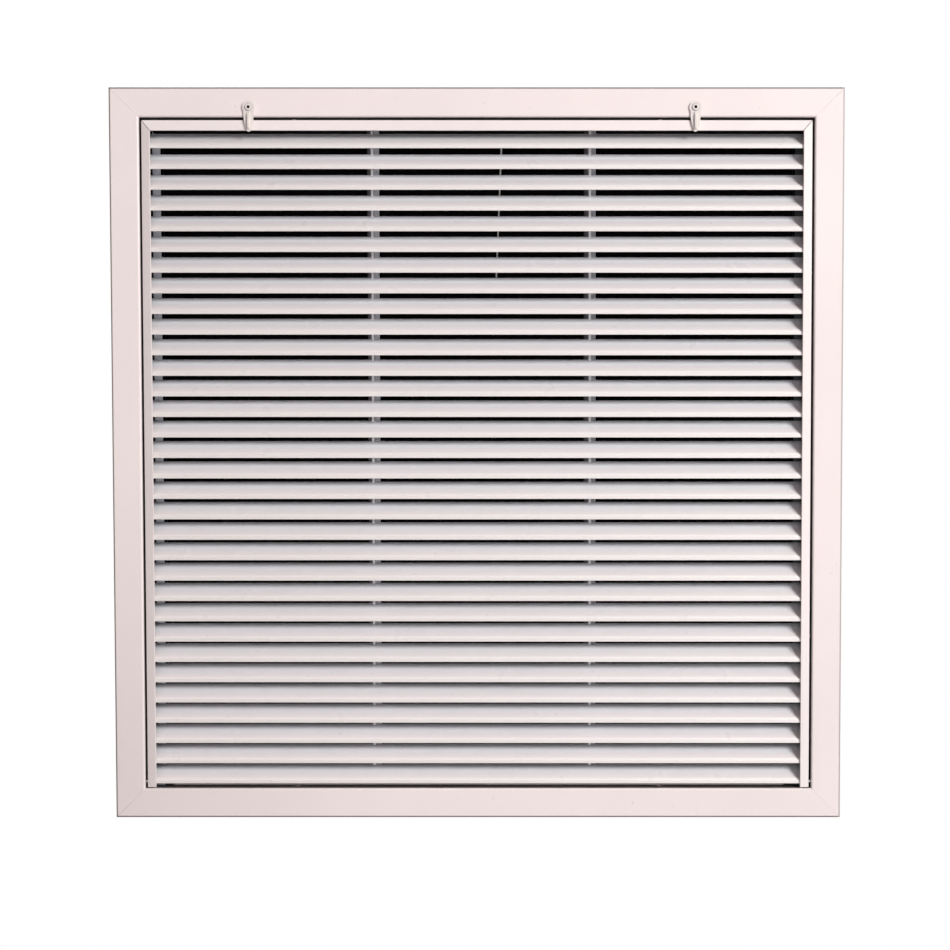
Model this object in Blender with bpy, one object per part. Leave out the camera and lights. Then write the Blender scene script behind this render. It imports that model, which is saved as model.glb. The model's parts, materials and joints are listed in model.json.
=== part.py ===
# Return air filter grille: a mitred frame, a hinged core of fixed slanted blades, and a filter behind it.
# Metres, +Z up, +X to the right seen from the room, +Y into the wall.
# The wall plane is y = 0, and the origin is the middle of the bottom member's outer foot.

import math

import bmesh
import bpy
from mathutils import Matrix, Vector

# Face of the outer frame
FACE_WIDTH = 0.656
FACE_HEIGHT = 0.656
FLANGE_WIDTH = 0.0264
FLANGE_DEPTH = 0.0045
FLANGE_EDGE_RADIUS = 0.0007
FLANGE_NOSE_RADIUS = 0.0020
FRAME_WALL = 0.0014

# Feet and key channel behind the flange
HOOK_THICKNESS = 0.0012
HOOK_REACH = 0.004
KEY_CHANNEL_WIDTH = 0.011
KEY_LEG = 0.060
KEY_THICKNESS = 0.0013

# Neck that goes into the wall
STOP_REACH = 0.003
REAR_LIP_REACH = 0.0075
NECK_TAIL = 0.008
FIXING_RADIUS = 0.0021
FIXING_DEPTH = 0.0065
FIXING_SPREAD = 0.330

# Core rails
CORE_SIDE_GAP = 0.0021
CORE_TOP_GAP = 0.0025
CORE_BOTTOM_GAP = 0.0011
RAIL_WALL = 0.0014
RAIL_EDGE_RADIUS = 0.0006
RAIL_SLANT = 0.0006
SIDE_RAIL_FACE = 0.0078
TOP_RAIL_FACE = 0.0093
SIDE_REAR_FLANGE = 0.013
END_REAR_FLANGE = 0.005
RAIL_HEEL_TRIM = 0.004
BOTTOM_RAIL_SETBACK = 0.0085

# Blades
BLADE_PITCH = 0.01845
BLADE_RUN = 0.013
BLADE_RISE = 0.0152
BLADE_LIP = 0.0027
BLADE_THICKNESS = 0.0012
BLADE_CREST_RADIUS = 0.0014
BLADE_BOW = 0.0005
BOTTOM_BLADE_GAP = 0.0042

# Support bars behind the blades
SUPPORT_LEFT_INSET = 0.2043
SUPPORT_RIGHT_INSET = 0.1983
SUPPORT_STEM = 0.0022
SUPPORT_FLANGE = 0.0108
SUPPORT_DEPTH = 0.0072
SUPPORT_WALL = 0.0014
NOTCH_DEPTH = 0.0014

# Hinge at the foot of the core
HINGE_DEPTH = 0.0029
HINGE_HEIGHT = 0.0060
PIN_RADIUS = 0.0011
PIN_STAKE = 0.0014

# Swivel clips on the top member
CLIP_LEFT_INSET = 0.1248
CLIP_RIGHT_INSET = 0.1330
CLIP_PIVOT_INSET = 0.0178
CLIP_HEAD_RADIUS = 0.0056
CLIP_SHOULDER_HALF = 0.0043
CLIP_SHOULDER_DROP = 0.0105
CLIP_TIP_RADIUS = 0.0021
CLIP_LENGTH = 0.0217
CLIP_THICKNESS = 0.0012
CLIP_RIB_HEIGHT = 0.0020
CLIP_RIB_FOOT = 0.0017
CLIP_RIB_CREST = 0.0009
RIVET_RADIUS = 0.0016
RIVET_HEAD_RADIUS = 0.0031
RIVET_HEAD_HEIGHT = 0.0007
RIVET_BORE_RADIUS = 0.0010
RIVET_TAIL_RADIUS = 0.0024
RIVET_TAIL_LENGTH = 0.0019

# Filter
FILTER_SIDE_GAP = 0.004
FILTER_DEPTH = 0.020
FILTER_CHANNEL_LIP = 0.012
FILTER_CHANNEL_WALL = 0.001
MEDIA_SETBACK = 0.0038
MEDIA_PLEAT = 0.0123
MEDIA_SHEET = 0.0020
FILTER_CLIP_WIDTH = 0.016
FILTER_CLIP_REACH = 0.009
FILTER_CLIP_WALL = 0.001
FILTER_CLIP_SPREAD = 0.300
PULL_WIRE_RADIUS = 0.0006
PULL_WIRE_OFFSET = 0.0213
PULL_WIRE_LEAN = 0.0050
PULL_WIRE_DROP = 0.1230

# Clearances
FIT_GAP = 0.0003
MITRE_GAP = 0.0003
ROUND_STEPS = 6
HOLE_SEGMENTS = 16

# Planes along Y, from the room to the rear of the neck
face_plane = -FLANGE_DEPTH
blade_front = face_plane + RAIL_WALL + FIT_GAP
blade_rear = blade_front + BLADE_RUN
rail_flange_front = blade_rear + FIT_GAP
rail_rear = rail_flange_front + RAIL_WALL
stop_front = rail_rear + FIT_GAP
stop_rear = stop_front + FRAME_WALL
support_front = blade_rear - NOTCH_DEPTH
support_rear = support_front + SUPPORT_DEPTH + SUPPORT_WALL
filter_front = support_rear + 4 * FIT_GAP
filter_rear = filter_front + FILTER_DEPTH
rear_lip_front = filter_rear + FIT_GAP
rear_lip_rear = rear_lip_front + FRAME_WALL
neck_rear = rear_lip_rear + NECK_TAIL

# Places in the plane of the face, from its centre
half_width = FACE_WIDTH / 2
half_height = FACE_HEIGHT / 2
opening_half_width = half_width - FLANGE_WIDTH
opening_top = half_height - FLANGE_WIDTH
opening_bottom = -opening_top
core_half_width = opening_half_width - CORE_SIDE_GAP
core_top = opening_top - CORE_TOP_GAP
core_bottom = opening_bottom + CORE_BOTTOM_GAP
rail_inner_half = core_half_width - RAIL_WALL
hinge_y = face_plane + HINGE_DEPTH
hinge_z = opening_bottom + HINGE_HEIGHT
foot_middle = (FRAME_WALL + HOOK_REACH) / 2
centre_height = half_height - foot_middle
blade_tan = (BLADE_RISE - BLADE_LIP) / BLADE_RUN
first_blade = opening_bottom + BOTTOM_BLADE_GAP
blade_room = core_top - TOP_RAIL_FACE + BLADE_LIP - first_blade - BLADE_RISE
blade_count = int(blade_room / BLADE_PITCH) + 1

WHITE_PAINT = (0.86, 0.80, 0.79)
BLADE_PAINT = (0.80, 0.77, 0.77)
RAW_METAL = (0.55, 0.56, 0.57)
FILTER_BLACK = (0.012, 0.012, 0.014)


def clear_objects():
    for old in list(bpy.data.objects):
        bpy.data.objects.remove(old, do_unlink=True)


def finish(name, colour, roughness, metallic):
    material = bpy.data.materials.new(name + "_finish")
    material.use_nodes = True
    shader = material.node_tree.nodes["Principled BSDF"]
    shader.inputs["Base Color"].default_value = (*colour, 1.0)
    shader.inputs["Roughness"].default_value = roughness
    shader.inputs["Metallic"].default_value = metallic
    return material


def anchor(name, place, parent=None):
    empty = bpy.data.objects.new(name, None)
    bpy.context.collection.objects.link(empty)
    empty.parent = parent
    empty.location = place
    return empty


def to_object(name, bm, parent, place=(0, 0, 0), turn=0.0, paint=None):
    bmesh.ops.recalc_face_normals(bm, faces=bm.faces)
    mesh = bpy.data.meshes.new(name)
    bm.to_mesh(mesh)
    bm.free()
    mesh.shade_smooth()
    mesh.set_sharp_from_angle(angle=math.radians(40))
    return put(name, mesh, parent, place, turn, paint)


def put(name, mesh, parent, place=(0, 0, 0), turn=0.0, paint=None):
    piece = bpy.data.objects.new(name, mesh)
    bpy.context.collection.objects.link(piece)
    piece.parent = parent
    piece.location = place
    piece.rotation_euler = (0, turn, 0)
    if paint:
        mesh.materials.append(finish(name, *paint))
    return piece


def arc(centre, radius, start, end, steps=ROUND_STEPS):
    angles = [math.radians(start + (end - start) * k / steps) for k in range(steps + 1)]
    return [(centre[0] + radius * math.cos(a), centre[1] + radius * math.sin(a)) for a in angles]


def extrude_outline(bm, points, travel):
    """Fills a flat outline and extrudes it along travel. Returns the near and the far corners."""
    near = [bm.verts.new(p) for p in points]
    cap = bm.faces.new(near)
    grown = bmesh.ops.extrude_face_region(bm, geom=[cap], use_keep_orig=True)
    far = [item for item in grown["geom"] if isinstance(item, bmesh.types.BMVert)]
    bmesh.ops.translate(bm, vec=travel, verts=far)
    return near, far


def bar_mesh(section, length, start_cut, end_cut, flip=False):
    """A bar along X with a section of (inset, depth) points. Cuts shorten its ends by inset and depth."""
    bm = bmesh.new()
    side = -1 if flip else 1
    points = [(0, depth, side * inset) for inset, depth in section]
    near, far = extrude_outline(bm, points, (length, 0, 0))
    for corner in near:
        corner.co.x += start_cut(side * corner.co.z, corner.co.y)
    for corner in far:
        corner.co.x -= end_cut(side * corner.co.z, corner.co.y)
    return bm


def add_turned(bm, profile, centre, axis, segments=HOLE_SEGMENTS):
    """Turns (radius, along) points about an axis; the profile starts and ends on the axis."""
    axis = Vector(axis)
    out = axis.orthogonal().normalized()
    corners = [bm.verts.new(Vector(centre) + axis * along + out * radius) for radius, along in profile]
    edges = [bm.edges.new(pair) for pair in zip(corners, corners[1:])]
    turned = bmesh.ops.spin(bm, geom=corners + edges, cent=centre, axis=axis,
                            angle=math.tau, steps=segments, use_merge=True)
    spun = [item for item in turned["geom_last"] if isinstance(item, bmesh.types.BMVert)]
    bmesh.ops.remove_doubles(bm, verts=bm.verts, dist=1e-6)
    return spun


def hole_cutter(name, parent, holes):
    """Hidden round cutters, each a (centre, axis, radius, length)."""
    bm = bmesh.new()
    for centre, axis, radius, length in holes:
        turn = Vector(axis).to_track_quat("Z", "Y").to_matrix().to_4x4()
        bmesh.ops.create_cone(bm, cap_ends=True, segments=HOLE_SEGMENTS, radius1=radius, radius2=radius,
                              depth=length, matrix=Matrix.Translation(centre) @ turn)
    cutter = to_object(name, bm, parent)
    cutter.hide_render = True
    cutter.display_type = "WIRE"
    return cutter


def cut_with(piece, cutter, operation="DIFFERENCE"):
    boolean = piece.modifiers.new("cut", "BOOLEAN")
    boolean.operation = operation
    boolean.solver = "EXACT"
    boolean.object = cutter


def flange_and_neck_section():
    """The frame's extrusion: face flange with feet behind it, neck, core stop, and the filter's rear lip."""
    wall = FRAME_WALL
    inner = FLANGE_WIDTH
    foot_end = wall + HOOK_REACH
    rib_outer = wall + KEY_CHANNEL_WIDTH
    rib_inner = rib_outer + wall
    flange_back = face_plane + wall
    edge = FLANGE_EDGE_RADIUS
    nose = FLANGE_NOSE_RADIUS
    points = [(0, 0)]
    points += arc((edge, face_plane + edge), edge, 180, 270, 3)
    points += arc((inner - nose, face_plane + nose), nose, -90, 0)
    points += [(inner, stop_front), (inner + STOP_REACH, stop_front)]
    points += [(inner + STOP_REACH, stop_rear), (inner, stop_rear)]
    points += [(inner, rear_lip_front), (inner + REAR_LIP_REACH, rear_lip_front)]
    points += [(inner + REAR_LIP_REACH, rear_lip_rear), (inner, rear_lip_rear)]
    points += [(inner, neck_rear), (inner - wall, neck_rear)]
    points += [(inner - wall, flange_back), (rib_inner, flange_back), (rib_inner, 0)]
    points += [(rib_outer - HOOK_REACH, 0), (rib_outer - HOOK_REACH, -HOOK_THICKNESS)]
    points += [(rib_outer, -HOOK_THICKNESS), (rib_outer, flange_back), (wall, flange_back)]
    points += [(wall, -HOOK_THICKNESS), (foot_end, -HOOK_THICKNESS), (foot_end, 0)]
    return points


def mitre(inset, depth):
    return inset + MITRE_GAP / math.sqrt(2)


def build_frame(parent):
    section = flange_and_neck_section()
    paint = (WHITE_PAINT, 0.38, 0.0)
    clip_places = clip_centres()
    web = FLANGE_WIDTH - FRAME_WALL / 2
    sides = [
        ("bottom", FACE_WIDTH, (-half_width, 0, -half_height), 0),
        ("right", FACE_HEIGHT, (half_width, 0, -half_height), -math.pi / 2),
        ("top", FACE_WIDTH, (half_width, 0, half_height), math.pi),
        ("left", FACE_HEIGHT, (-half_width, 0, half_height), math.pi / 2),
    ]
    for name, length, place, turn in sides:
        bm = bar_mesh(section, length, mitre, mitre)
        member = to_object("frame_" + name, bm, parent, place, turn, paint)
        inward = Matrix.Rotation(turn, 3, "Y") @ Vector((0, 0, 1))
        along = Matrix.Rotation(turn, 3, "Y") @ Vector((1, 0, 0))
        holes = []
        for step in (-0.5, 0.5):
            middle = Vector(place) + along * (length / 2 + step * FIXING_SPREAD) + inward * web
            holes.append((middle + Vector((0, FIXING_DEPTH, 0)), inward, FIXING_RADIUS, 2 * FRAME_WALL))
        if name in ("left", "right"):
            centre = Vector((-inward.x * (half_width - web), hinge_y, hinge_z))
            holes.append((centre, inward, PIN_RADIUS + FIT_GAP, 2 * FRAME_WALL))
        if name == "top":
            flange_middle = face_plane + FRAME_WALL / 2
            for x, z in clip_places.values():
                holes.append((Vector((x, flange_middle, z)), (0, 1, 0), RIVET_RADIUS + FIT_GAP, 2 * FRAME_WALL))
        cut_with(member, hole_cutter("cutter_frame_" + name, parent, holes))


def build_corner_keys(parent):
    near = FRAME_WALL + FIT_GAP
    far = FRAME_WALL + KEY_CHANNEL_WIDTH - FIT_GAP
    front = face_plane + FRAME_WALL + FIT_GAP
    outline = [(near, near), (KEY_LEG, near), (KEY_LEG, far), (far, far), (far, KEY_LEG), (near, KEY_LEG)]
    bm = bmesh.new()
    extrude_outline(bm, [(x, front, z) for x, z in outline], (0, KEY_THICKNESS, 0))
    corners = [
        ("bottom_left", (-half_width, 0, -half_height), 0),
        ("bottom_right", (half_width, 0, -half_height), -math.pi / 2),
        ("top_right", (half_width, 0, half_height), math.pi),
        ("top_left", (-half_width, 0, half_height), math.pi / 2),
    ]
    first = None
    for name, place, turn in corners:
        if first is None:
            first = to_object("corner_key_" + name, bm, parent, place, turn, (RAW_METAL, 0.45, 1.0))
        else:
            put("corner_key_" + name, first.data, parent, place, turn)


def rail_section(face, rear_flange):
    """A channel: face plate whose front slants back to the outer wall, that wall, and a rear flange."""
    edge = RAIL_EDGE_RADIUS
    heel = rail_rear - RAIL_HEEL_TRIM
    points = [(0, rail_rear), (0, heel)]
    outer_front = face_plane + RAIL_SLANT
    points += arc((edge, outer_front + edge), edge, 180, 270, 3)
    points += arc((face - edge, face_plane + edge), edge, -90, 0, 3)
    points += [(face, face_plane + RAIL_WALL), (RAIL_WALL, face_plane + RAIL_WALL)]
    points += [(RAIL_WALL, heel), (RAIL_WALL, rail_flange_front), (rear_flange, rail_flange_front)]
    points += [(rear_flange, rail_rear)]
    return points


def build_core_rails(hinge, offset):
    paint = (WHITE_PAINT, 0.38, 0.0)
    height = core_top - core_bottom
    heel = rail_rear - RAIL_HEEL_TRIM
    mitre_slope = TOP_RAIL_FACE / SIDE_RAIL_FACE

    def side_top_cut(inset, depth):
        return inset * mitre_slope + MITRE_GAP / 2

    def side_foot_cut(inset, depth):
        return max(0.0, depth - heel)

    def top_cut(inset, depth):
        return inset / mitre_slope + MITRE_GAP / 2

    section = rail_section(SIDE_RAIL_FACE, SIDE_REAR_FLANGE)
    for name, side in (("left", -1), ("right", 1)):
        bm = bar_mesh(section, height, side_foot_cut, side_top_cut, flip=side < 0)
        place = Vector((side * core_half_width, 0, core_bottom)) - offset
        rail = to_object("core_rail_" + name, bm, hinge, place, -math.pi / 2, paint)
        pin_place = Vector((side * (core_half_width - RAIL_WALL / 2), hinge_y, hinge_z)) - offset
        hole = (pin_place, (1, 0, 0), PIN_RADIUS + FIT_GAP, 2 * RAIL_WALL)
        cut_with(rail, hole_cutter("cutter_rail_" + name, hinge, [hole]))

    bm = bar_mesh(rail_section(TOP_RAIL_FACE, END_REAR_FLANGE), 2 * core_half_width, top_cut, top_cut)
    place = Vector((core_half_width, 0, core_top)) - offset
    to_object("core_rail_top", bm, hinge, place, math.pi, paint)

    rear = blade_rear
    front = face_plane + BOTTOM_RAIL_SETBACK
    angle = [(0, front), (0, rear), (END_REAR_FLANGE, rear), (END_REAR_FLANGE, rear - RAIL_WALL)]
    angle += [(RAIL_WALL, rear - RAIL_WALL), (RAIL_WALL, front)]
    clear_wall = RAIL_WALL + FIT_GAP
    bm = bar_mesh(angle, 2 * (core_half_width - clear_wall), square, square)
    place = Vector((clear_wall - core_half_width, 0, core_bottom)) - offset
    to_object("core_rail_bottom", bm, hinge, place, 0, paint)


def square(inset, depth):
    return 0.0


def blade_section():
    """(height, depth) points of one blade: front lip, rounded crest and a bowed slope up to the rear."""
    slope = math.atan(blade_tan)
    radius = BLADE_CREST_RADIUS
    tangent = radius * math.tan((math.pi / 2 - slope) / 2)
    crest_centre = (blade_front + radius, BLADE_LIP - tangent)
    turn_to = 90 + math.degrees(slope)
    crest = arc(crest_centre, radius, 180, turn_to, 4)
    upper = [(blade_front, 0.0)] + crest
    start = crest[-1]
    rear_top = (blade_rear, BLADE_RISE)
    bow_steps = 5
    for step in range(1, bow_steps):
        share = step / bow_steps
        dip = 4 * BLADE_BOW * share * (1 - share)
        upper.append((start[0] + (rear_top[0] - start[0]) * share,
                      start[1] + (rear_top[1] - start[1]) * share - dip))
    upper.append(rear_top)
    drop = BLADE_THICKNESS / math.cos(slope)
    lip_back = blade_front + BLADE_THICKNESS
    lower = [(blade_rear, BLADE_RISE - drop)]
    for depth, height in reversed(upper[len(crest) + 1:-1]):
        lower.append((depth, height - drop))
    inner_height = BLADE_LIP + (lip_back - blade_front) * blade_tan - drop
    lower += [(lip_back, inner_height), (lip_back, 0.0)]
    return [(height, depth) for depth, height in upper + lower]


def build_blades(hinge, offset):
    length = 2 * (rail_inner_half - FIT_GAP)
    shared = None
    for number in range(1, blade_count + 1):
        height = first_blade + (blade_count - number) * BLADE_PITCH
        place = Vector((-length / 2, 0, height)) - offset
        name = f"blade_{number:02d}"
        if shared is None:
            bm = bar_mesh(blade_section(), length, square, square)
            shared = to_object(name, bm, hinge, place, 0, (BLADE_PAINT, 0.4, 0.0)).data
        else:
            put(name, shared, hinge, place)


def comb_outline():
    """(depth, height) points of a support bar's stem, with a slanted notch for each blade's rear edge."""
    drop = BLADE_THICKNESS / math.cos(math.atan(blade_tan))
    back = support_front + SUPPORT_DEPTH + SUPPORT_WALL / 2
    floor = blade_rear + FIT_GAP
    bottom = core_bottom + END_REAR_FLANGE + FIT_GAP
    top = core_top - END_REAR_FLANGE - FIT_GAP
    points = [(back, bottom), (support_front, bottom)]
    for number in range(blade_count):
        rear_top = first_blade + number * BLADE_PITCH + BLADE_RISE

        def upper(depth):
            return rear_top + (depth - blade_rear) * blade_tan + FIT_GAP / 2

        def lower(depth):
            return upper(depth) - drop - FIT_GAP - BLADE_BOW / 2

        points += [(support_front, lower(support_front)), (floor, lower(floor))]
        points += [(floor, upper(floor)), (support_front, upper(support_front))]
    points += [(support_front, top), (back, top)]
    return points


def build_support_bars(hinge, offset):
    comb = comb_outline()
    bottom = comb[0][1]
    top = comb[-1][1]
    flange_front = support_front + SUPPORT_DEPTH
    places = (("left", SUPPORT_LEFT_INSET - core_half_width), ("right", core_half_width - SUPPORT_RIGHT_INSET))
    for name, x in places:
        place = Vector((x, 0, 0)) - offset
        bm = bmesh.new()
        stem = [(-SUPPORT_STEM / 2, depth, height) for depth, height in comb]
        extrude_outline(bm, stem, (SUPPORT_STEM, 0, 0))
        bar = to_object("support_bar_" + name, bm, hinge, place, 0, (WHITE_PAINT, 0.4, 0.0))
        half = SUPPORT_FLANGE / 2
        plate = [(-half, flange_front, bottom), (half, flange_front, bottom)]
        plate += [(half, support_rear, bottom), (-half, support_rear, bottom)]
        bm = bmesh.new()
        extrude_outline(bm, plate, (0, 0, top - bottom))
        back_plate = to_object("joiner_support_" + name, bm, hinge, place)
        back_plate.hide_render = True
        back_plate.display_type = "WIRE"
        cut_with(bar, back_plate, "UNION")


def build_hinge_pins(parent):
    """Two dowels staked in the neck's side walls; the core's side rails turn on them."""
    outer = opening_half_width + FRAME_WALL + PIN_STAKE
    inner = rail_inner_half
    chamfer = PIN_RADIUS / 4
    length = outer - inner
    profile = [(0, 0), (PIN_RADIUS - chamfer, 0), (PIN_RADIUS, chamfer)]
    profile += [(PIN_RADIUS, length - chamfer), (PIN_RADIUS - chamfer, length), (0, length)]
    bm = bmesh.new()
    add_turned(bm, profile, (0, 0, 0), (1, 0, 0))
    place = Vector((inner, hinge_y, hinge_z))
    right = to_object("hinge_pin_right", bm, parent, place, paint=(RAW_METAL, 0.35, 1.0))
    put("hinge_pin_left", right.data, parent, place * Vector((-1, 1, 1)), math.pi)


def clip_centres():
    height = half_height - CLIP_PIVOT_INSET
    return {
        "left": (CLIP_LEFT_INSET - half_width, height),
        "right": (half_width - CLIP_RIGHT_INSET, height),
    }


def clip_outline():
    """A head round the pivot, shoulders over the gap, and a taper to a round tip."""
    tip_height = CLIP_TIP_RADIUS - CLIP_LENGTH
    head = arc((0, 0), CLIP_HEAD_RADIUS, 215, -35, 18)
    tip = arc((0, tip_height), CLIP_TIP_RADIUS, -20, -160, 8)
    shoulder = CLIP_SHOULDER_HALF
    right = [(shoulder, -CLIP_SHOULDER_DROP), (shoulder * 0.86, -CLIP_SHOULDER_DROP * 1.25)]
    left = [(-x, z) for x, z in reversed(right)]
    return head + right + tip + left


def build_clips(frame_anchor):
    back = face_plane - FIT_GAP
    front = back - CLIP_THICKNESS
    for name, (x, z) in clip_centres().items():
        pivot = anchor("clip_pivot_" + name, (x, 0, z), frame_anchor)
        bm = bmesh.new()
        extrude_outline(bm, [(px, back, pz) for px, pz in clip_outline()], (0, -CLIP_THICKNESS, 0))
        clip = to_object("swivel_clip_" + name, bm, pivot, paint=(WHITE_PAINT, 0.35, 0.0))
        bore = ((0, back - CLIP_THICKNESS / 2, 0), (0, 1, 0), RIVET_RADIUS + FIT_GAP, 2 * CLIP_THICKNESS)
        cut_with(clip, hole_cutter("cutter_clip_" + name, pivot, [bore]))
        cut_with(clip, clip_rib(name, pivot, front), "UNION")


def clip_rib(name, pivot, front):
    """The finger rib along the arm, wider at its foot than at its crest."""
    sunk = front + CLIP_THICKNESS / 2
    crest = front - CLIP_RIB_HEIGHT
    start = -(RIVET_HEAD_RADIUS + 2 * FIT_GAP)
    end = CLIP_TIP_RADIUS * 0.6 - CLIP_LENGTH
    ramp = CLIP_RIB_HEIGHT
    outline = [(sunk, start), (sunk, end), (front, end), (crest, end + ramp)]
    outline += [(crest, start - 2 * ramp), (front, start)]
    bm = bmesh.new()
    half = CLIP_RIB_FOOT / 2
    extrude_outline(bm, [(-half, depth, height) for depth, height in outline], (2 * half, 0, 0))
    for corner in bm.verts:
        if corner.co.y < front - FIT_GAP:
            corner.co.x *= CLIP_RIB_CREST / CLIP_RIB_FOOT
    rib = to_object("joiner_clip_" + name, bm, pivot)
    rib.hide_render = True
    rib.display_type = "WIRE"
    return rib


def build_rivets(parent):
    """Hollow rivets through the top flange, which the clips turn on."""
    under_head = face_plane - FIT_GAP - CLIP_THICKNESS - FIT_GAP
    top = under_head - RIVET_HEAD_HEIGHT
    flange_back = face_plane + FRAME_WALL
    tail = flange_back + FIT_GAP
    tail_end = tail + RIVET_TAIL_LENGTH
    bore_floor = face_plane
    shoulder = RIVET_HEAD_RADIUS * 0.62
    profile = [(0, bore_floor), (RIVET_BORE_RADIUS, bore_floor), (RIVET_BORE_RADIUS, top)]
    profile += [(shoulder, top + RIVET_HEAD_HEIGHT * 0.12), (RIVET_HEAD_RADIUS * 0.9, top + RIVET_HEAD_HEIGHT * 0.5)]
    profile += [(RIVET_HEAD_RADIUS, under_head), (RIVET_RADIUS, under_head), (RIVET_RADIUS, tail)]
    profile += [(RIVET_TAIL_RADIUS, tail), (RIVET_TAIL_RADIUS, (tail + tail_end) / 2), (RIVET_RADIUS, tail_end)]
    profile += [(0, tail_end)]
    bm = bmesh.new()
    add_turned(bm, profile, (0, 0, 0), (0, 1, 0))
    (left_x, left_z), (right_x, right_z) = clip_centres().values()
    left = to_object("clip_rivet_left", bm, parent, (left_x, 0, left_z), paint=(RAW_METAL, 0.35, 1.0))
    put("clip_rivet_right", left.data, parent, (right_x, 0, right_z))


def build_filter(parent):
    half_x = opening_half_width - FILTER_SIDE_GAP
    half_z = opening_top - FILTER_SIDE_GAP
    wall = FILTER_CHANNEL_WALL
    lip = FILTER_CHANNEL_LIP
    section = [(0, filter_front), (lip, filter_front), (lip, filter_front + wall), (wall, filter_front + wall)]
    section += [(wall, filter_rear - wall), (lip, filter_rear - wall), (lip, filter_rear), (0, filter_rear)]
    bm = bmesh.new()
    corners = []
    for side_x, side_z in ((-1, -1), (1, -1), (1, 1), (-1, 1)):
        corner = [(side_x * (half_x - inset), depth, side_z * (half_z - inset)) for inset, depth in section]
        corners.append([bm.verts.new(point) for point in corner])
    for near, far in zip(corners, corners[1:] + corners[:1]):
        for k in range(len(section)):
            bm.faces.new((near[k - 1], near[k], far[k], far[k - 1]))
    to_object("filter_frame", bm, parent, paint=(RAW_METAL, 0.4, 1.0))
    inset = wall + FIT_GAP
    build_media(parent, half_x - inset, half_z - inset)
    build_filter_clips(parent)
    build_pull_wire(parent, half_z)


def build_media(parent, half_x, half_z):
    """One black sheet folded into upright zigzags between the channels."""
    front = filter_front + MEDIA_SETBACK
    rear = filter_rear - FILTER_CHANNEL_WALL - FIT_GAP - MEDIA_SHEET
    folds = 2 * int(half_x / MEDIA_PLEAT)
    width = 2 * half_x / folds
    ridge = [(-half_x + k * width, front if k % 2 else rear) for k in range(folds + 1)]
    outline = ridge + [(x, depth + MEDIA_SHEET) for x, depth in reversed(ridge)]
    bm = bmesh.new()
    extrude_outline(bm, [(x, depth, -half_z) for x, depth in outline], (0, 0, 2 * half_z))
    to_object("filter_media", bm, parent, paint=(FILTER_BLACK, 0.9, 0.0))


def build_filter_clips(parent):
    """Leaf clips on the neck's side walls that keep the filter against the rear lip."""
    root = opening_half_width - FIT_GAP
    wall = FILTER_CLIP_WALL
    start = stop_rear + FIT_GAP
    end = filter_front - FIT_GAP
    outline = [(0, start), (wall, start), (wall, end - wall), (FILTER_CLIP_REACH, end - wall)]
    outline += [(FILTER_CLIP_REACH, end), (0, end)]
    bm = bmesh.new()
    points = [(reach, depth, -FILTER_CLIP_WIDTH / 2) for reach, depth in outline]
    extrude_outline(bm, points, (0, 0, FILTER_CLIP_WIDTH))
    raised = FILTER_CLIP_SPREAD / 2
    place = (-root, 0, raised)
    first = to_object("filter_clip_upper_left", bm, parent, place, paint=(RAW_METAL, 0.35, 1.0))
    put("filter_clip_lower_left", first.data, parent, (-root, 0, -raised))
    put("filter_clip_upper_right", first.data, parent, (root, 0, raised), math.pi)
    put("filter_clip_lower_right", first.data, parent, (root, 0, -raised), math.pi)


def build_pull_wire(parent, filter_half):
    """A thin wire hooked under the top channel's lip; it hangs in front of the filter."""
    radius = PULL_WIRE_RADIUS
    lip_edge = filter_half - FILTER_CHANNEL_LIP
    clear = radius + FIT_GAP
    front = filter_front - clear
    behind = filter_front + FILTER_CHANNEL_WALL + clear
    middle = (front + behind) / 2
    turn = (behind - front) / 2
    x = PULL_WIRE_OFFSET
    floor = lip_edge - clear
    route = [(x, behind, floor + 4 * radius), (x, behind, floor)]
    hook = arc((middle, floor), turn, 0, -180, 8)
    route += [(x, depth, height) for depth, height in hook[1:]]
    end_height = floor - PULL_WIRE_DROP
    steps = 6
    for step in range(1, steps + 1):
        share = step / steps
        route.append((x - PULL_WIRE_LEAN * share, front, floor + (end_height - floor) * share))
    curve = bpy.data.curves.new("filter_pull_wire", "CURVE")
    curve.dimensions = "3D"
    curve.bevel_depth = radius
    curve.bevel_resolution = 2
    curve.use_fill_caps = True
    spline = curve.splines.new("POLY")
    spline.points.add(len(route) - 1)
    for point, place in zip(spline.points, route):
        point.co = (*place, 1)
    curve.materials.append(finish("filter_pull_wire", RAW_METAL, 0.3, 1.0))
    wire = bpy.data.objects.new("filter_pull_wire", curve)
    bpy.context.collection.objects.link(wire)
    wire.parent = parent


def main():
    clear_objects()
    frame_anchor = anchor("frame_centre", (0, 0, centre_height))
    hinge_place = Vector((0, hinge_y, hinge_z))
    core_hinge = anchor("core_hinge", hinge_place, frame_anchor)
    build_frame(frame_anchor)
    build_corner_keys(frame_anchor)
    build_hinge_pins(frame_anchor)
    build_core_rails(core_hinge, hinge_place)
    build_blades(core_hinge, hinge_place)
    build_support_bars(core_hinge, hinge_place)
    build_clips(frame_anchor)
    build_rivets(frame_anchor)
    build_filter(frame_anchor)


main()
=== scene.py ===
# Looks of the return air filter grille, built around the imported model.
import json
import math

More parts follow.
